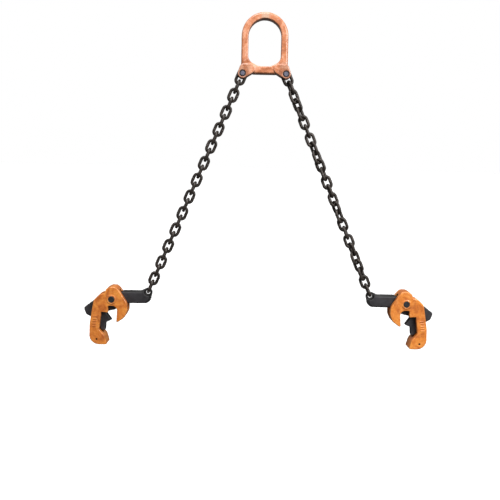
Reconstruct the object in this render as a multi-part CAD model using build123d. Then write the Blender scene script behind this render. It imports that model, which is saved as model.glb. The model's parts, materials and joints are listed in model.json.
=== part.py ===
"""Two-leg chain lifter for steel drums, held by the hook eye of its master link.

A forged master link carries two chain legs. Each leg ends in a clamp that grips the
rolled top rim of a drum: a slotted body hooks over the rim, and the chain pulls on a
bell-crank lever whose jaw presses the rim from outside against the body's nose.

Frame: millimetres, origin at the centre of the hook eye's top arch, +X along the line
between the two clamps, +Z up. The left clamp is the one at -X.
"""
from build123d import *
from math import cos, radians, sin
import os

# ---------------------------------------------------------------- driving dimensions
# chain: 5.8 mm short-link chain
WIRE_R = 2.9
CROWN_R = 6.95           # centre-line radius of a link's round ends
LINK_INNER = 17.25       # inside length of a link
END_LINK_INNER = 21.0    # inside length of the longer link in each clevis
END_CROWN_R = 7.2        # its ends are wider, for the clevis pin
LINK_GAP = 0.2           # free play where two links cross
GROUPS = [2, 2, 2, 2, 2, 3, 3, 2, 2, 2, 2, 2]      # links in each rigid run of chain
TWIST = {"left": 0.0, "right": 14.4}               # extra turn of every next link

# master link
EYE_OPEN_R = 30.0        # inside radius of the eye's arch
EYE_BAR = 12.8           # width of the eye's side bars
EYE_BAR_DEPTH = 20.0
EYE_FLOOR = -53.4        # lowest point of the opening
EYE_BOTTOM = -67.6       # underside of the bottom bar
EYE_ROUNDING = 4.2
EYE_INNER_ROUNDING = 2.4
LUG_R = 9.0
LUG_DEPTH = 24.0
LUG_ROUNDING = 1.8
LUG_SWING_R = 11.9       # room for the end link round the clevis pin
CLEVIS_SLOT = 7.0
CLEVIS_PIN_R = 4.0
CLEVIS_PIN_X = 39.9
CLEVIS_PIN_Z = -67.0
CIRCLIP_SEAT_R = 6.1
CIRCLIP_SEAT_DEPTH = 1.9
CIRCLIP_R = 5.8
CIRCLIP_T = 1.0

# legs
LEG_TILT = 22.8          # degrees from vertical

# clamp, in its own plane: x towards the drum's centre, z up, origin at the pivot pin
BODY_DEPTH = 32.0
BODY_ROUNDING = 1.5
SLOT_WIDTH = 14.0
GRIP_BARS = 5            # raised bars down the outside of the leg
GRIP_BAR = (7.0, 1.0, 1.7)
GRIP_BAR_TOP = (-30.6, -33.0)
GRIP_BAR_STEP = (-0.7, -4.6)
LEVER_DEPTH = 13.0
LEVER_ROUNDING = 1.2
ARM_DEPTH = 11.0         # the arm's edge, behind its raised middle
TAB_DEPTH = 5.0
PIVOT_R = 6.0
PIVOT_BOSS_R = 8.8
PIVOT_BOSS_H = 0.8
PIVOT_HEAD_R = 8.4
PIVOT_HEAD_H = 2.6
LEVER_HUB_R = 16.5
WEB_INNER_R = 17.4
CHAIN_HOLE = (68.0, 13.0)
CHAIN_HOLE_R = 3.8
HOLE_ROUNDING = 1.2      # rounded rims, so that the curved wire lies in the hole
LINK_RELIEF_R = 7.6      # scallop that clears the link's sides beside the thin tab
FOOT_HOLE = (-28.6, -77.3)
FOOT_HOLE_R = 1.75
FIT = 0.05               # running clearance on pins, on the radius

# ---------------------------------------------------------------- derived sizes
LINK_PITCH = LINK_INNER - LINK_GAP
LINK_COUNT = sum(GROUPS)
END_LINK_DOWN = END_LINK_INNER / 2 - CLEVIS_PIN_R - LINK_GAP
SECOND_LINK_DOWN = END_LINK_DOWN + (END_LINK_INNER + LINK_INNER) / 2 - LINK_GAP
LAST_CROWN = LINK_INNER / 2 + WIRE_R                       # link centre to its end's wire centre
LEG_LENGTH = SECOND_LINK_DOWN + (LINK_COUNT - 2) * LINK_PITCH + LAST_CROWN
HOOK_PLAY = 0.4          # how far the wire sits above the middle of the lever's hole
WIRE_X = CHAIN_HOLE[0] + HOOK_PLAY * sin(radians(LEG_TILT))
WIRE_Z = CHAIN_HOLE[1] + HOOK_PLAY * cos(radians(LEG_TILT))
PIVOT_X = -(CLEVIS_PIN_X + LEG_LENGTH * sin(radians(LEG_TILT)) + WIRE_X)
PIVOT_Z = CLEVIS_PIN_Z - LEG_LENGTH * cos(radians(LEG_TILT)) - WIRE_Z


# ---------------------------------------------------------------- small helpers
def rounded(corners):
    """Closed face in the XZ plane from (x, z, radius) corners."""
    points = [(x, z) for x, z, _ in corners]
    radii = [r for _, _, r in corners]
    return Plane.XZ * make_face(FilletPolyline(*points, radius=radii, close=True))


def disc(x, z, radius):
    return Plane.XZ * Pos(x, z) * Circle(radius)


def slab(face, depth):
    """Extrude an XZ face evenly to both sides of the y = 0 plane."""
    return extrude(face, depth / 2, both=True)


def rod(x, z, radius, y_low, y_high):
    """Round bar along Y."""
    middle = Pos(x, (y_low + y_high) / 2, z)
    return middle * Rot(90, 0, 0) * Cylinder(radius, y_high - y_low)


def hull_of(*circles):
    """Face in the XZ plane wrapped round circles given as (x, z, radius)."""
    edges = []
    for x, z, radius in circles:
        edges += (Pos(x, z) * Circle(radius)).edges()
    return Plane.XZ * make_hull(edges)


def soften(solid, depth, radius):
    """Round the rims of the two flat faces at y = +-depth / 2."""
    rims = solid.faces().filter_by(Axis.Y)
    outer = [f for f in rims if abs(abs(f.center().Y) - depth / 2) < 0.01]
    return fillet([e for f in outer for e in f.edges()], radius)


# ---------------------------------------------------------------- master link
def master_link():
    half = EYE_OPEN_R + EYE_BAR
    outline = rounded([
        (-half, half, half - 0.1), (half, half, half - 0.1),
        (half, -48, 3), (half + 1.2, -62, 6),
        (20, EYE_BOTTOM, 5), (-20, EYE_BOTTOM, 5),
        (-half - 1.2, -62, 6), (-half, -48, 3),
    ])
    opening = rounded([
        (-EYE_OPEN_R, EYE_OPEN_R, EYE_OPEN_R - 0.1), (EYE_OPEN_R, EYE_OPEN_R, EYE_OPEN_R - 0.1),
        (EYE_OPEN_R, -44, 16), (11, EYE_FLOOR, 22), (-11, EYE_FLOOR, 22), (-EYE_OPEN_R, -44, 16),
    ])
    eye = soften(slab(outline, EYE_BAR_DEPTH), EYE_BAR_DEPTH, EYE_ROUNDING)
    eye -= slab(opening, EYE_BAR_DEPTH)
    rims = [w for f in eye.faces().filter_by(Axis.Y) for w in f.inner_wires()]
    eye = fillet([e for w in rims for e in w.edges()], EYE_INNER_ROUNDING)
    for side in (-1, 1):
        eye += clevis_lug(side, opening)
    for side in (-1, 1):
        eye -= clevis_cutouts(side)
    return eye


def clevis_lug(side, opening):
    """Block across the eye's lower corner, cut back where it would reach into the opening."""
    face = hull_of((side * CLEVIS_PIN_X, CLEVIS_PIN_Z, LUG_R), (side * 39, -56.5, 6.5),
                   (side * 26, -58.5, 9.0))
    return soften(slab(face - opening, LUG_DEPTH), LUG_DEPTH, LUG_ROUNDING)


def clevis_cutouts(side):
    """Chain slot, pin bore and circlip seats of one lug."""
    x, z = side * CLEVIS_PIN_X, CLEVIS_PIN_Z
    way_out = (x + side * 14, z - 14, LUG_SWING_R + 3)
    slot = slab(hull_of((x, z, LUG_SWING_R), way_out), CLEVIS_SLOT)
    bore = rod(x, z, CLEVIS_PIN_R + 0.02, -LUG_DEPTH, LUG_DEPTH)
    floor = LUG_DEPTH / 2 - CIRCLIP_SEAT_DEPTH
    front = rod(x, z, CIRCLIP_SEAT_R, -LUG_DEPTH, -floor)
    rear = rod(x, z, CIRCLIP_SEAT_R, floor, LUG_DEPTH)
    return slot + bore + front + rear


def circlip_y():
    """Middle of a circlip, measured from the y = 0 plane."""
    return LUG_DEPTH / 2 - CIRCLIP_SEAT_DEPTH + 0.05 + CIRCLIP_T / 2


def clevis_pin(side):
    x, z = side * CLEVIS_PIN_X, CLEVIS_PIN_Z
    half = LUG_DEPTH / 2
    pin = rod(x, z, CLEVIS_PIN_R, -half, half)
    pin = chamfer(pin.edges().filter_by(GeomType.CIRCLE), 0.6)
    for y in (-circlip_y(), circlip_y()):
        groove = rod(x, z, CLEVIS_PIN_R + 1, y - 0.6, y + 0.6)
        pin -= groove - rod(x, z, CLEVIS_PIN_R - 0.6, y - 0.6, y + 0.6)
    return pin


def clevis_circlips():
    rings = []
    for side in (-1, 1):
        x, z = side * CLEVIS_PIN_X, CLEVIS_PIN_Z
        for y in (-circlip_y(), circlip_y()):
            low, high = y - CIRCLIP_T / 2, y + CIRCLIP_T / 2
            ring = rod(x, z, CIRCLIP_R, low, high) - rod(x, z, CLEVIS_PIN_R - 0.55, low, high)
            gap = Pos(x, y, z - CIRCLIP_R) * Box(2.6, 3, 5)
            rings.append(ring - gap)
    return Compound(rings)


# ---------------------------------------------------------------- chain
def link(inner_length, crown_r):
    """One link, long axis on Z, flat in the XZ plane."""
    straight = inner_length - 2 * (crown_r - WIRE_R)
    bar = Pos(crown_r, 0, 0) * Cylinder(WIRE_R, straight)
    section = Pos(crown_r, 0, straight / 2) * Circle(WIRE_R)
    crown = revolve(section, Axis((0, 0, straight / 2), (0, -1, 0)), 180)
    half = bar + crown
    return half + Rot(0, 180, 0) * half


def place_link(side, index):
    lean = LEG_TILT if side == "left" else -LEG_TILT
    pin_x = -CLEVIS_PIN_X if side == "left" else CLEVIS_PIN_X
    down = END_LINK_DOWN if index == 0 else SECOND_LINK_DOWN + (index - 1) * LINK_PITCH
    turn = index * (90 + TWIST[side])
    place = Pos(pin_x, 0, CLEVIS_PIN_Z) * Rot(0, lean, 0) * Pos(0, 0, -down) * Rot(0, 0, turn)
    return place * (link(END_LINK_INNER, END_CROWN_R) if index == 0 else link(LINK_INNER, CROWN_R))


def chain_groups(side):
    first = 0
    for number, size in enumerate(GROUPS, 1):
        links = [place_link(side, i) for i in range(first, first + size)]
        first += size
        yield f"{side}_links_{number:02d}", Compound(links)


# ---------------------------------------------------------------- clamp
def clamp_profile():
    return rounded([
        (-9.8, 20.5, 7.0), (-2.0, 24.6, 12.0), (8.5, 24.2, 10.0),      # crest over the slot
        (16.0, 15.6, 14.0), (30.0, -7.0, 18.0), (30.4, -22.0, 16.0),   # hook's inner side
        (25.0, -34.5, 14.0), (12.6, -43.4, 2.0), (8.9, -43.6, 1.2),    # nose
        (11.2, -12.7, 9.2),                                            # mouth arch
        (-6.5, -12.6, 3.0), (-6.8, -25.8, 1.4),                        # stop lug
        (-19.6, -24.6, 1.6), (-23.8, -57.5, 5.0),                      # throat and leg
        (-13.0, -71.0, 12.0), (-8.6, -88.0, 2.6), (-43.0, -87.8, 18.5),    # foot and toe
        (-41.8, -48.0, 60.0), (-36.6, -18.0, 40.0),
        (-33.5, -1.2, 12.0), (-23.0, 9.0, 14.0),                       # shoulder
        (-12.4, 12.6, 3.5),                                            # dip behind the crest
    ])


def lever_pocket():
    """Room for the lever between the cheeks, under the crest and above the foot."""
    below_crest = rounded([
        (-12.0, 13.0, 0.5), (-70.0, 13.0, 1.0), (-70.0, -48.0, 1.0), (-37.0, -48.0, 0.5),
        (-37.0, -66.0, 5.0), (50.0, -66.0, 1.0), (50.0, 17.6, 1.0), (14.6, 17.6, 1.0),
        (6.0, 10.0, 1.0),
    ])
    return slab(below_crest + disc(0, 0, WEB_INNER_R), SLOT_WIDTH)


def clamp_body():
    body = soften(slab(clamp_profile(), BODY_DEPTH), BODY_DEPTH, BODY_ROUNDING)
    front = -BODY_DEPTH / 2
    boss = rod(0, 0, PIVOT_BOSS_R, front - PIVOT_BOSS_H, -front)
    body += chamfer(boss.edges().filter_by(GeomType.CIRCLE).sort_by(Axis.Y)[0], 0.4)
    for step in range(GRIP_BARS):
        x, z = (top + step * down for top, down in zip(GRIP_BAR_TOP, GRIP_BAR_STEP))
        body += Pos(x, front, z) * Box(*GRIP_BAR)
    body -= lever_pocket()
    body -= rod(0, 0, PIVOT_R + 0.02, -BODY_DEPTH, BODY_DEPTH)
    body -= rod(*FOOT_HOLE, FOOT_HOLE_R, -BODY_DEPTH, BODY_DEPTH)
    return body


def lever():
    """Bell crank: chain arm towards the drum, jaw below the pivot, release tab outside."""
    jaw = rounded([
        (6.0, -6.0, 1.0), (9.0, -20.5, 5.0), (-13.2, -25.5, 3.0),
        (-1.6, -42.0, 0.9), (-12.6, -46.4, 5.0), (-14.0, -62.6, 2.0), (-21.5, -60.8, 3.5),
        (-27.0, -44.0, 8.0), (-42.6, -35.0, 2.0), (-50.0, -31.0, 4.0), (-54.6, -18.6, 3.6),
        (-37.5, -5.4, 5.0), (-8.0, 7.0, 1.0),
    ])
    pad = hull_of((59.6, 3.0, 10.0), (20.0, 2.4, 10.0))
    thick = soften(slab(jaw + disc(0, 0, LEVER_HUB_R) + pad, LEVER_DEPTH), LEVER_DEPTH,
                   LEVER_ROUNDING)
    arm = hull_of((62.0, 3.6, 12.0), (24.0, 3.4, 12.2))
    edge = soften(slab(arm, ARM_DEPTH), ARM_DEPTH, LEVER_ROUNDING)
    relief = rod(*CHAIN_HOLE, LINK_RELIEF_R, -BODY_DEPTH, BODY_DEPTH)
    tab = slab(hull_of((*CHAIN_HOLE, 8.2), (62.0, 4.2, 12.0), (50.0, 3.8, 9.0)), TAB_DEPTH)
    crank = thick + edge - relief + tab
    crank -= rod(0, 0, PIVOT_R + FIT, -BODY_DEPTH, BODY_DEPTH)
    crank -= rod(*CHAIN_HOLE, CHAIN_HOLE_R, -BODY_DEPTH, BODY_DEPTH)
    rims = [e for e in crank.edges().filter_by(GeomType.CIRCLE)
            if abs(e.radius - CHAIN_HOLE_R) < 0.01 and abs(e.arc_center.X - CHAIN_HOLE[0]) < 0.01]
    return fillet(rims, HOLE_ROUNDING)


def pivot_pin():
    front = -BODY_DEPTH / 2 - PIVOT_BOSS_H
    back = BODY_DEPTH / 2
    shank = rod(0, 0, PIVOT_R, front, back)
    head = rod(0, 0, PIVOT_HEAD_R, back, back + PIVOT_HEAD_H)
    pin = shank + head
    rims = pin.edges().filter_by(GeomType.CIRCLE).sort_by(Axis.Y)
    return chamfer([rims[0], rims[-1]], 0.7)


def both_sides(name, shape):
    """Place a clamp part at the left clamp, and its mirror image at the right one."""
    left = Pos(PIVOT_X, 0, PIVOT_Z) * shape
    return {f"left_{name}": left, f"right_{name}": mirror(left, about=Plane.YZ)}


# ---------------------------------------------------------------- assembly
def assembly():
    parts = {"master_link": master_link(), "clevis_circlips": clevis_circlips()}
    parts["left_clevis_pin"] = clevis_pin(-1)
    parts["right_clevis_pin"] = clevis_pin(1)
    for side in ("left", "right"):
        parts.update(chain_groups(side))
    parts.update(both_sides("lever", lever()))
    parts.update(both_sides("clamp_body", clamp_body()))
    parts.update(both_sides("pivot_pin", pivot_pin()))
    return parts


os.makedirs("parts", exist_ok=True)
for node, shape in assembly().items():
    export_step(shape, f"parts/{node}.step")
print(f"leg {LEG_LENGTH:.2f} mm, pivot x {PIVOT_X:.3f} z {PIVOT_Z:.3f}")
print(f"lever hinge x {PIVOT_X + WIRE_X:.3f} z {PIVOT_Z + WIRE_Z:.3f}")
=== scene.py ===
"""Looks of the two-leg chain drum lifter, in metres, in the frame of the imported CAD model."""
import bmesh
import bpy
import json
import numpy as np
from math import cos, pi, radians, sin
from mathutils import Matrix, Vector, noise


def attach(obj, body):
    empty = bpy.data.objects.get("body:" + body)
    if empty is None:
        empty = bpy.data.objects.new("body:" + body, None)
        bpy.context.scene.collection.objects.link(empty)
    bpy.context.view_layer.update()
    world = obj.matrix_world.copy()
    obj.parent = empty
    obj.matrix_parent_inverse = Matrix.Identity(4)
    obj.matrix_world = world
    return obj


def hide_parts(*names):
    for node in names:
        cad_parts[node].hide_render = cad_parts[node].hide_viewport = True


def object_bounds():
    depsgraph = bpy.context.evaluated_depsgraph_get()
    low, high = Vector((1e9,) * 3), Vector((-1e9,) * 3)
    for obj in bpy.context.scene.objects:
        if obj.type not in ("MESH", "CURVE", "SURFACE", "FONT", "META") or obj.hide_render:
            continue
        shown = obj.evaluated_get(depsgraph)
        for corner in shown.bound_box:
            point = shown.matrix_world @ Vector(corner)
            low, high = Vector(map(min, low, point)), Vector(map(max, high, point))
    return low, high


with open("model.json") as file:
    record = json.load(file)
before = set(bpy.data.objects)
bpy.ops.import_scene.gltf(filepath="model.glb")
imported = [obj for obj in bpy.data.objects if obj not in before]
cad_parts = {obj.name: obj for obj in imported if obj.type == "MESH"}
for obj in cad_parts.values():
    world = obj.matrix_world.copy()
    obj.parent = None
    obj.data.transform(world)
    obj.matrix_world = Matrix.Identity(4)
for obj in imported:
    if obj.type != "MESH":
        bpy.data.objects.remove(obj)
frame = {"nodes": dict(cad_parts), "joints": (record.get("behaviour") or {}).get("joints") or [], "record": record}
cad_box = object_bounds()
bodies = frame["record"]["behaviour"]["bodies"]
joints = {j["name"]: Vector(j["pos_m"]) for j in frame["joints"]}
body_of = {node: body for body, members in bodies.items() for node in members}

MM = 0.001
SIDES = ("left", "right")

# chain, as in the CAD
WIRE_R = 2.9 * MM
CROWN_R = 6.95 * MM
LINK_INNER = 17.25 * MM
END_LINK_INNER = 21.0 * MM
END_CROWN_R = 7.2 * MM
LINK_GAP = 0.2 * MM
CLEVIS_PIN_R = 4.0 * MM
GROUPS = (2, 2, 2, 2, 2, 3, 3, 2, 2, 2, 2, 2)
TWIST = {"left": 0.0, "right": 14.4}   # degrees from link to link

# camera: place in metres, turns in degrees
CAMERA_PLACE = (-0.0386, -1.2842, -0.2256)
CAMERA_TURN, CAMERA_PITCH, CAMERA_ROLL = -0.85, -7.465, 1.16
CAMERA_LENS = 48.96

# studio
SUN_STRENGTH, SUN_ANGLE = 2.1, 24
SUN_DIRECTION = (0.22, 0.34, -1.0)
FLOOR_DROP = 0.32
FLOOR_RADIUS = 60

# skin of the forgings and castings
QUICK_VOXEL, VOXEL = 0.9 * MM, 0.55 * MM
MASTER_DENTS, CAST_DENTS = 0.25 * MM, 0.2 * MM
MASTER_SEAM, LEVER_SEAM = 0.15 * MM, 0.2 * MM
COARSE_DENT, FINE_DENT = 110, 330      # noise per metre

# worn places and the darker lugs
HOOK_SEAT_REACH = 34 * MM              # the crane hook rests inside this of the arch's centre
LUG_START_X, LUG_START_Z = 24 * MM, -44 * MM
LUG_DARKENING = 0.75
PIN_HOLE_WEAR, PIN_HOLE_INNER, PIN_HOLE_OUTER = 0.45, 5.6 * MM, 6.4 * MM
CHAIN_HOLE_WEAR, CHAIN_HOLE_INNER, CHAIN_HOLE_OUTER = 0.35, 3.4 * MM, 5.6 * MM
PAD_START_Y = 5.7 * MM                 # the lever's pad stands out past this


# ---------------------------------------------------------------- camera, light, floor
def camera():
    data = bpy.data.cameras.new("camera")
    data.sensor_width = 36.0
    data.lens = CAMERA_LENS
    data.clip_end = 200
    cam = bpy.data.objects.new("camera", data)
    bpy.context.scene.collection.objects.link(cam)
    turn, pitch, roll = radians(CAMERA_TURN), radians(CAMERA_PITCH), radians(CAMERA_ROLL)
    cam.matrix_world = (Matrix.Translation(CAMERA_PLACE) @ Matrix.Rotation(turn, 4, "Z")
                        @ Matrix.Rotation(pi / 2 + pitch, 4, "X") @ Matrix.Rotation(roll, 4, "Z"))
    bpy.context.scene.camera = cam


def area_light(name, place, aim, size, power):
    data = bpy.data.lights.new(name, "AREA")
    data.size, data.energy = size, power
    lamp = bpy.data.objects.new(name, data)
    bpy.context.scene.collection.objects.link(lamp)
    lamp.location = place
    lamp.rotation_euler = (Vector(aim) - Vector(place)).to_track_quat("-Z", "Y").to_euler()


def split_by_camera_ray(tree, bounced, seen):
    """The camera sees one shader and bounced light the other, so that a white studio adds little fill."""
    path = tree.nodes.new("ShaderNodeLightPath")
    pick = tree.nodes.new("ShaderNodeMixShader")
    tree.links.new(path.outputs["Is Camera Ray"], pick.inputs["Fac"])
    tree.links.new(bounced, pick.inputs[1])
    tree.links.new(seen, pick.inputs[2])
    return pick.outputs[0]


def studio():
    """White surround for the camera; a soft sky, darker to the sides and behind, lights the part."""
    world = bpy.data.worlds.new("studio")
    bpy.context.scene.world = world
    world.use_nodes = True
    tree = world.node_tree
    nodes, links = tree.nodes, tree.links
    nodes.clear()
    out = nodes.new("ShaderNodeOutputWorld")
    seen = nodes.new("ShaderNodeBackground")
    seen.inputs["Color"].default_value = (1, 1, 1, 1)
    split = nodes.new("ShaderNodeSeparateXYZ")
    links.new(nodes.new("ShaderNodeTexCoord").outputs["Generated"], split.inputs[0])
    sideways = nodes.new("ShaderNodeMath")
    sideways.operation = "ABSOLUTE"
    links.new(split.outputs["X"], sideways.inputs[0])
    level = nodes.new("ShaderNodeMath")
    level.operation = "MULTIPLY"
    fades = ((sideways.outputs[0], 0.35, 0.95, 0.62, 0.16), (split.outputs["Y"], -0.1, 0.6, 1.0, 0.35))
    for socket, (value, *limits) in zip(level.inputs, fades):
        fade = nodes.new("ShaderNodeMapRange")
        links.new(value, fade.inputs["Value"])
        for name, number in zip(("From Min", "From Max", "To Min", "To Max"), limits):
            fade.inputs[name].default_value = number
        links.new(fade.outputs[0], socket)
    fill = nodes.new("ShaderNodeBackground")
    links.new(level.outputs[0], fill.inputs["Strength"])
    links.new(split_by_camera_ray(tree, fill.outputs[0], seen.outputs[0]), out.inputs["Surface"])

    sun = bpy.data.lights.new("sun", "SUN")
    sun.energy, sun.angle = SUN_STRENGTH, radians(SUN_ANGLE)
    lamp = bpy.data.objects.new("sun", sun)
    bpy.context.scene.collection.objects.link(lamp)
    lamp.rotation_euler = Vector(SUN_DIRECTION).to_track_quat("-Z", "Y").to_euler()
    area_light("key", (1.0, -1.05, 0.3), (0, 0, -0.35), 0.7, 21)
    area_light("glint", (-0.55, -0.75, 0.75), (0, 0, 0), 0.16, 1.1)
    area_light("top_panel", (-0.05, -0.6, 0.8), (0, 0, 0), 0.5, 5)
    bpy.context.scene.view_settings.view_transform = "Standard"


def floor():
    low = cad_box[0].z - FLOOR_DROP
    bm = bmesh.new()
    bmesh.ops.create_circle(bm, cap_ends=True, segments=96, radius=FLOOR_RADIUS)
    mesh = bpy.data.meshes.new("floor")
    bm.to_mesh(mesh)
    bm.free()
    ground = bpy.data.objects.new("floor", mesh)
    bpy.context.scene.collection.objects.link(ground)
    ground.location.z = low
    look = Look("floor", roughness=0.9)
    grain = look.noise(4, detail=3)
    pale = look.ramp(grain, (0.3, (0.90, 0.90, 0.90)), (0.7, (0.94, 0.94, 0.94)))
    look.colour(pale)
    look.put(look.shader.inputs["Emission Color"], pale)
    look.shader.inputs["Emission Strength"].default_value = 0.4
    dull = look.tree.nodes.new("ShaderNodeBsdfDiffuse")
    dull.inputs["Color"].default_value = (0.12, 0.115, 0.11, 1)
    out = look.tree.nodes["Material Output"]
    picked = split_by_camera_ray(look.tree, dull.outputs[0], look.shader.outputs[0])
    look.tree.links.new(picked, out.inputs["Surface"])
    mesh.materials.append(look.material)


# ---------------------------------------------------------------- materials
class Look:
    """A Principled material and the few nodes that these surfaces are made with."""

    def __init__(self, name, **constants):
        self.material = bpy.data.materials.new(name)
        self.material.use_nodes = True
        self.tree = self.material.node_tree
        self.shader = self.tree.nodes["Principled BSDF"]
        for socket, value in constants.items():
            self.shader.inputs[socket.replace("_", " ").title().replace("Ior", "IOR")].default_value = value
        self.place = self.tree.nodes.new("ShaderNodeTexCoord").outputs["Object"]

    def put(self, socket, value):
        if isinstance(value, bpy.types.NodeSocket):
            self.tree.links.new(value, socket)
        elif isinstance(value, tuple) and len(value) == 3 and socket.type == "RGBA":
            socket.default_value = (*value, 1)
        else:
            socket.default_value = value

    def noise(self, scale, detail=4.0, roughness=0.55, distortion=0.0):
        node = self.tree.nodes.new("ShaderNodeTexNoise")
        self.put(node.inputs["Vector"], self.place)
        for name, value in (("Scale", scale), ("Detail", detail), ("Roughness", roughness),
                            ("Distortion", distortion)):
            node.inputs[name].default_value = value
        return node.outputs["Fac"]

    def facing(self, axis):
        split = self.tree.nodes.new("ShaderNodeSeparateXYZ")
        self.put(split.inputs[0], self.tree.nodes.new("ShaderNodeNewGeometry").outputs["Normal"])
        return split.outputs[axis]

    def attribute(self, name):
        node = self.tree.nodes.new("ShaderNodeAttribute")
        node.attribute_name = name
        return node.outputs["Fac"]

    def edges(self):
        return self.tree.nodes.new("ShaderNodeNewGeometry").outputs["Pointiness"]

    def island(self):
        return self.tree.nodes.new("ShaderNodeNewGeometry").outputs["Random Per Island"]

    def hollows(self, reach):
        node = self.tree.nodes.new("ShaderNodeAmbientOcclusion")
        node.inputs["Distance"].default_value = reach
        node.samples = 8
        return node.outputs["AO"]

    def ramp(self, value, *stops):
        node = self.tree.nodes.new("ShaderNodeValToRGB")
        self.put(node.inputs["Fac"], value)
        points = node.color_ramp.elements
        while len(points) < len(stops):
            points.new(0.5)
        for point, (position, colour) in zip(points, stops):
            point.position = position
            point.color = (*colour, 1) if isinstance(colour, tuple) else (colour,) * 3 + (1,)
        return node.outputs["Color"]

    def span(self, value, low, high, to_low=0.0, to_high=1.0):
        node = self.tree.nodes.new("ShaderNodeMapRange")
        for socket, number in zip(node.inputs, (value, low, high, to_low, to_high)):
            self.put(socket, number)
        return node.outputs["Result"]

    def math(self, operation, a, b):
        node = self.tree.nodes.new("ShaderNodeMath")
        node.operation = operation
        self.put(node.inputs[0], a)
        self.put(node.inputs[1], b)
        return node.outputs["Value"]

    def mix(self, factor, a, b, blend="MIX"):
        node = self.tree.nodes.new("ShaderNodeMix")
        node.data_type = "RGBA"
        node.blend_type = blend
        sockets = {s.identifier: s for s in node.inputs}
        self.put(sockets["Factor_Float"], factor)
        self.put(sockets["A_Color"], a)
        self.put(sockets["B_Color"], b)
        return next(s for s in node.outputs if s.identifier == "Result_Color")

    def colour(self, value):
        self.put(self.shader.inputs["Base Color"], value)

    def roughness(self, value):
        self.put(self.shader.inputs["Roughness"], value)

    def bump(self, *layers):
        """layers are (height, depth in metres); each rides on the one before."""
        normal = None
        for height, depth in layers:
            node = self.tree.nodes.new("ShaderNodeBump")
            node.inputs["Distance"].default_value = depth
            self.put(node.inputs["Height"], height)
            if normal is not None:
                self.put(node.inputs["Normal"], normal)
            normal = node.outputs["Normal"]
        self.put(self.shader.inputs["Normal"], normal)


def paint(name, deep, main, pale, fleck_and_highlight, bare):
    """Sprayed paint: uneven tone, orange peel, chips, worn spots; painted highlight on edges, painted shade in
    hollows and on downward faces; darker where a lug mask is set.
    """
    look = Look(name, specular_ior_level=0.5, coat_weight=0.5, coat_roughness=0.22)
    tone = look.ramp(look.noise(60, detail=6, distortion=0.8), (0.37, deep), (0.50, main), (0.64, pale))
    mottle = look.noise(380, detail=4, roughness=0.65)
    tone = look.mix(look.span(mottle, 0.45, 0.7, 0.0, 0.5), tone, deep)
    flecks = look.noise(170, detail=5, roughness=0.7, distortion=0.5)
    tone = look.mix(look.span(flecks, 0.54, 0.74, 0.0, 0.45), tone, fleck_and_highlight)
    # painted highlight: sharp edges (pointiness) are lightened toward the pale edge colour; the same ridge mask
    # also helps place the chips
    ridge = look.span(look.edges(), 0.507, 0.555)
    tone = look.mix(look.math("MULTIPLY", ridge, 0.4), tone, fleck_and_highlight)
    chips = look.span(look.math("ADD", look.noise(260, detail=6, roughness=0.7),
                                look.math("MULTIPLY", ridge, 0.16)), 0.735, 0.765)
    tone = look.mix(chips, tone, bare)
    polish = look.attribute("polish")
    tone = look.mix(look.math("MULTIPLY", polish, 0.8), tone, (0.56, 0.37, 0.25))
    worn = look.attribute("wear")
    tone = look.mix(worn, tone, bare)
    shade = tuple(0.16 * c for c in main)
    # painted shade: ambient occlusion darkens hollows and creases toward the shade colour
    hollow_shade_and_lug_dark = look.span(look.hollows(0.007), 0.2, 0.9, 0.85, 0.0)
    # a mask, broken by the mottle noise, also darkens the master link's lugs
    hollow_shade_and_lug_dark = look.math("MAXIMUM", hollow_shade_and_lug_dark, look.math("MULTIPLY", look.attribute("lug_dark"), mottle))
    tone = look.mix(hollow_shade_and_lug_dark, tone, shade)
    # painted shade: faces turned downward are darkened
    underside_shade = look.span(look.facing("Z"), -0.2, -0.65)
    tone = look.mix(look.math("MULTIPLY", underside_shade, look.span(mottle, 0.3, 0.6, 0.65, 0.9)), tone, shade)
    look.colour(tone)
    rough = look.span(look.noise(90, detail=4), 0.3, 0.7, 0.28, 0.48)
    look.roughness(look.math("ADD", rough, look.math("MULTIPLY", polish, 0.15)))
    look.bump((look.noise(110, detail=3), 0.0002), (look.noise(900, detail=2), 0.00005),
              (look.math("MULTIPLY", chips, -1.0), 0.0001))
    return look.material


def chain_black():
    """Blackened chain steel: brown-black oxide with rubbed grey spots and fine scale."""
    look = Look("chain_black", metallic=0.35, specular_ior_level=0.5)
    tone = look.ramp(look.noise(170, detail=5, distortion=0.4), (0.3, (0.011, 0.008, 0.006)),
                     (0.52, (0.030, 0.023, 0.018)), (0.75, (0.076, 0.059, 0.050)))
    tone = look.mix(look.span(look.island(), 0.0, 1.0, 0.0, 0.4), tone, (0.062, 0.050, 0.048))
    rubbed = look.span(look.noise(520, detail=5, roughness=0.65), 0.62, 0.72)
    tone = look.mix(look.math("MULTIPLY", rubbed, 0.45), tone, (0.19, 0.155, 0.14))
    tone = look.mix(look.math("MULTIPLY", look.attribute("wear"), 0.7), tone, (0.16, 0.14, 0.135))
    look.colour(tone)
    look.roughness(look.span(look.noise(300, detail=4), 0.3, 0.7, 0.34, 0.58))
    look.bump((look.noise(380, detail=4), 0.0002), (look.noise(1500, detail=2), 0.00006))
    return look.material


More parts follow.
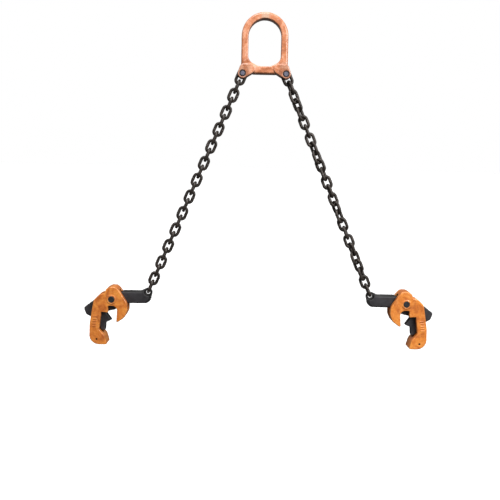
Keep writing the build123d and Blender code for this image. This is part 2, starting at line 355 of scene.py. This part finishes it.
def forging_black():
    """Black coated forging of the levers: charcoal, sandy, lighter raised parts, painted highlight on edges,
    painted shade on upward faces.
    """
    look = Look("forging_black", specular_ior_level=0.3)
    grain = look.noise(60, detail=5, distortion=0.5)
    low = look.ramp(grain, (0.3, (0.008, 0.008, 0.008)), (0.7, (0.018, 0.017, 0.017)))
    high = look.ramp(grain, (0.3, (0.022, 0.021, 0.023)), (0.55, (0.038, 0.036, 0.040)),
                     (0.8, (0.058, 0.056, 0.060)))
    tone = look.mix(look.attribute("raised"), low, high)
    # painted highlight: sharp edges (pointiness) are lightened to grey
    ridge = look.span(look.edges(), 0.51, 0.57)
    tone = look.mix(look.math("MULTIPLY", ridge, 0.5), tone, (0.13, 0.13, 0.135))
    specks = look.span(look.noise(700, detail=5, roughness=0.7), 0.66, 0.74)
    tone = look.mix(look.math("MULTIPLY", specks, 0.4), tone, (0.10, 0.10, 0.10))
    tone = look.mix(look.math("MULTIPLY", look.attribute("wear"), 0.7), tone, (0.22, 0.21, 0.20))
    # painted shade: faces turned upward are darkened to near black
    top_shade = look.span(look.facing("Z"), 0.35, 0.8, 0.0, 0.8)
    tone = look.mix(top_shade, tone, (0.010, 0.009, 0.009))
    look.colour(tone)
    look.roughness(look.span(look.noise(150, detail=4), 0.3, 0.7, 0.38, 0.6))
    look.bump((look.noise(160, detail=4), 0.0004), (look.noise(1100, detail=3), 0.00012))
    return look.material


def turned_steel(name, dark, main, metallic):
    """Turned and plated pin: faint tool marks, stains and fine scratches."""
    look = Look(name, metallic=metallic)
    tone = look.ramp(look.noise(260, detail=5, distortion=1.2), (0.3, dark), (0.7, main))
    scratches = look.span(look.noise(1800, detail=2), 0.6, 0.7)
    tone = look.mix(look.math("MULTIPLY", scratches, 0.3), tone, tuple(min(1, 1.8 * c) for c in main))
    look.colour(tone)
    look.roughness(look.span(look.noise(500, detail=3), 0.3, 0.7, 0.32, 0.5))
    look.bump((look.noise(900, detail=3), 0.00008))
    return look.material


# ---------------------------------------------------------------- forged and cast pieces
def arrays(mesh):
    count = len(mesh.vertices)
    places, normals = np.empty(count * 3, np.float32), np.empty(count * 3, np.float32)
    mesh.vertices.foreach_get("co", places)
    mesh.vertices.foreach_get("normal", normals)
    return places.reshape(-1, 3), normals.reshape(-1, 3)


def add_piece(name, mesh, nodes, look):
    piece = bpy.data.objects.new(name, mesh)
    bpy.context.scene.collection.objects.link(piece)
    mesh.materials.clear()
    mesh.materials.append(look)
    mesh.shade_smooth()
    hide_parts(*nodes)
    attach(piece, body_of[nodes[0]])
    return piece


def set_mask(mesh, name, values):
    layer = mesh.attributes.new(name, "FLOAT", "POINT")
    layer.data.foreach_set("value", np.ascontiguousarray(values, np.float32))


def forged(node, voxel, dents, seam=0.0, seam_width=1.8 * MM):
    """The CAD node's shape with softened edges, uneven skin and a raised die seam at y = 0."""
    source = frame["nodes"][node]
    body = bpy.data.objects.new(node + "_shape", source.data.copy())
    bpy.context.scene.collection.objects.link(body)
    remesh = body.modifiers.new("remesh", "REMESH")
    remesh.mode, remesh.voxel_size, remesh.adaptivity = "VOXEL", voxel, 0.0
    relax = body.modifiers.new("relax", "SMOOTH")
    relax.factor, relax.iterations = 0.5, 3
    deps = bpy.context.evaluated_depsgraph_get()
    mesh = bpy.data.meshes.new_from_object(body.evaluated_get(deps))
    bpy.data.objects.remove(body)
    places, normals = arrays(mesh)
    lift = np.empty(len(places), np.float32)
    for i, p in enumerate(places):
        at = Vector(p)
        lift[i] = noise.noise(at * COARSE_DENT) + 0.5 * noise.noise(at * FINE_DENT)
    lift = (lift - 1.0) * dents / 2
    side = np.clip(1 - np.abs(normals[:, 1]) * 2, 0, 1)
    lift += seam * side * np.exp(-(places[:, 1] / seam_width) ** 2)
    places += normals * lift[:, None]
    places = np.clip(places, cad_box[0], cad_box[1]).astype(np.float32)
    mesh.vertices.foreach_set("co", places.ravel())
    mesh.update()
    return mesh


def near_axis(places, x, z, inner, outer, soft=0.6 * MM):
    """1 between two radii from a Y axis at (x, z), fading over soft."""
    away = np.hypot(places[:, 0] - x, places[:, 2] - z)
    return np.clip((away - inner) / soft, 0, 1) * np.clip((outer - away) / soft, 0, 1)


# ---------------------------------------------------------------- chain
def link_mesh(bm, place, inner, crown_r, wear_layer, seed):
    """One welded link: a bent round bar with a weld bead in the middle of one side."""
    half = inner / 2 - (crown_r - WIRE_R)
    around, crown_steps, side_steps = 24, 26, 16
    path = []
    for end in (1, -1):
        for k in range(crown_steps):
            a = pi * k / crown_steps
            out = Vector((end * cos(a), 0, end * sin(a)))
            path.append((Vector((0, 0, end * half)) + out * crown_r, out))
        for k in range(side_steps):
            out = Vector((-end, 0, 0))
            z = end * half * (1 - 2 * k / side_steps)
            path.append((Vector((-end * crown_r, 0, z)), out))
    rings = []
    for centre, out in path:
        straight = abs(out.x) > 0.999
        weld = 0.0
        if straight and out.x < 0:
            bead = np.exp(-(centre.z / (1.5 * MM)) ** 2)
            groove = np.exp(-(centre.z / (0.35 * MM)) ** 2)
            weld = 0.11 * bead - 0.05 * groove
        ring = []
        for j in range(around):
            b = 2 * pi * j / around
            rough = 0.012 * noise.noise(centre * 260 + Vector((seed, cos(b), sin(b)))) - 0.012
            spot = centre + (out * cos(b) + Vector((0, 1, 0)) * sin(b)) * WIRE_R * (1 + weld + rough)
            vert = bm.verts.new(place @ spot)
            vert[wear_layer] = 0.7 * max(0.0, -cos(b)) * max(0.0, abs(out.z) - 0.5) + 4 * max(weld, 0)
            ring.append(vert)
        rings.append(ring)
    for ring, after in zip(rings, rings[1:] + rings[:1]):
        for j in range(around):
            k = (j + 1) % around
            bm.faces.new((ring[j], after[j], after[k], ring[k]))


def chain(side, look):
    top, bottom = joints[f"{side}_leg_swing"], joints[f"{side}_lever_hang"]
    down = (bottom - top).normalized()
    lean = Matrix.Rotation(np.arctan2(-down.x, -down.z), 4, "Y")
    first_down = END_LINK_INNER / 2 - CLEVIS_PIN_R - LINK_GAP
    second_down = first_down + (END_LINK_INNER + LINK_INNER) / 2 - LINK_GAP
    index = 0
    for number, size in enumerate(GROUPS, 1):
        bm = bmesh.new()
        wear_layer = bm.verts.layers.float.new("wear")
        for _ in range(size):
            drop = first_down if index == 0 else second_down + (index - 1) * (LINK_INNER - LINK_GAP)
            turn = Matrix.Rotation(radians(index * (90 + TWIST[side])), 4, "Z")
            place = Matrix.Translation(top) @ lean @ Matrix.Translation((0, 0, -drop)) @ turn
            sizes = (END_LINK_INNER, END_CROWN_R) if index == 0 else (LINK_INNER, CROWN_R)
            link_mesh(bm, place, *sizes, wear_layer, index * 7.3)
            index += 1
        bmesh.ops.recalc_face_normals(bm, faces=bm.faces)
        node = f"{side}_links_{number:02d}"
        mesh = bpy.data.meshes.new(node + "_welded")
        bm.to_mesh(mesh)
        bm.free()
        add_piece(node + "_welded", mesh, [node], look)


# ---------------------------------------------------------------- build
camera()
studio()
floor()

salmon = paint("salmon_paint", (0.42, 0.13, 0.048), (0.60, 0.21, 0.088), (0.77, 0.37, 0.22),
               (0.90, 0.60, 0.50), (0.045, 0.032, 0.028))
orange = paint("orange_paint", (0.46, 0.115, 0.016), (0.70, 0.208, 0.030), (0.85, 0.31, 0.052),
               (0.93, 0.46, 0.15), (0.12, 0.07, 0.05))
chain_look = chain_black()
forging_look = forging_black()
clevis_look = turned_steel("pin_blue_grey", (0.11, 0.11, 0.15), (0.24, 0.24, 0.32), 0.6)
dark_look = turned_steel("pin_black", (0.018, 0.018, 0.02), (0.05, 0.05, 0.055), 0.4)

voxel = VOXEL

mesh = forged("master_link", voxel, MASTER_DENTS, seam=MASTER_SEAM)
places, normals = arrays(mesh)
from_crown = np.abs(places[:, 0]) + 40 * MM * (places[:, 2] < 0)
inside = np.clip(-1.6 * normals[:, 2], 0, 1) * (np.hypot(places[:, 0], places[:, 2]) < HOOK_SEAT_REACH)
set_mask(mesh, "wear", inside * np.clip((8 * MM - from_crown) / (2 * MM), 0, 1))
set_mask(mesh, "polish", (1 - inside) * np.clip((9 * MM - from_crown) / (4 * MM), 0, 1))
# the master link's lugs are darkened
set_mask(mesh, "lug_dark", LUG_DARKENING * np.clip((np.abs(places[:, 0]) - LUG_START_X) / (6 * MM), 0, 1)
         * np.clip((LUG_START_Z - places[:, 2]) / (6 * MM), 0, 1))
add_piece("master_link_forging", mesh, ["master_link"], salmon)

for side in SIDES:
    pivot = joints[f"{side}_jaw_pivot"]
    mesh = forged(f"{side}_clamp_body", voxel, CAST_DENTS)
    places = arrays(mesh)[0]
    worn = near_axis(places, pivot.x, pivot.z, PIN_HOLE_INNER, PIN_HOLE_OUTER)
    set_mask(mesh, "wear", PIN_HOLE_WEAR * worn)
    add_piece(f"{side}_clamp_casting", mesh, [f"{side}_clamp_body"], orange)
    mesh = forged(f"{side}_lever", voxel, CAST_DENTS, seam=LEVER_SEAM)
    places = arrays(mesh)[0]
    hinge = joints[f"{side}_lever_hang"]
    worn = near_axis(places, hinge.x, hinge.z, CHAIN_HOLE_INNER, CHAIN_HOLE_OUTER)
    set_mask(mesh, "wear", CHAIN_HOLE_WEAR * worn)
    set_mask(mesh, "raised", np.clip((np.abs(places[:, 1]) - PAD_START_Y) / (0.5 * MM), 0, 1))
    add_piece(f"{side}_lever_forging", mesh, [f"{side}_lever"], forging_look)
    chain(side, chain_look)

for node, look in (("left_clevis_pin", clevis_look), ("right_clevis_pin", clevis_look),
                   ("clevis_circlips", dark_look), ("left_pivot_pin", dark_look),
                   ("right_pivot_pin", dark_look)):
    data = frame["nodes"][node].data
    data.materials.clear()
    data.materials.append(look)
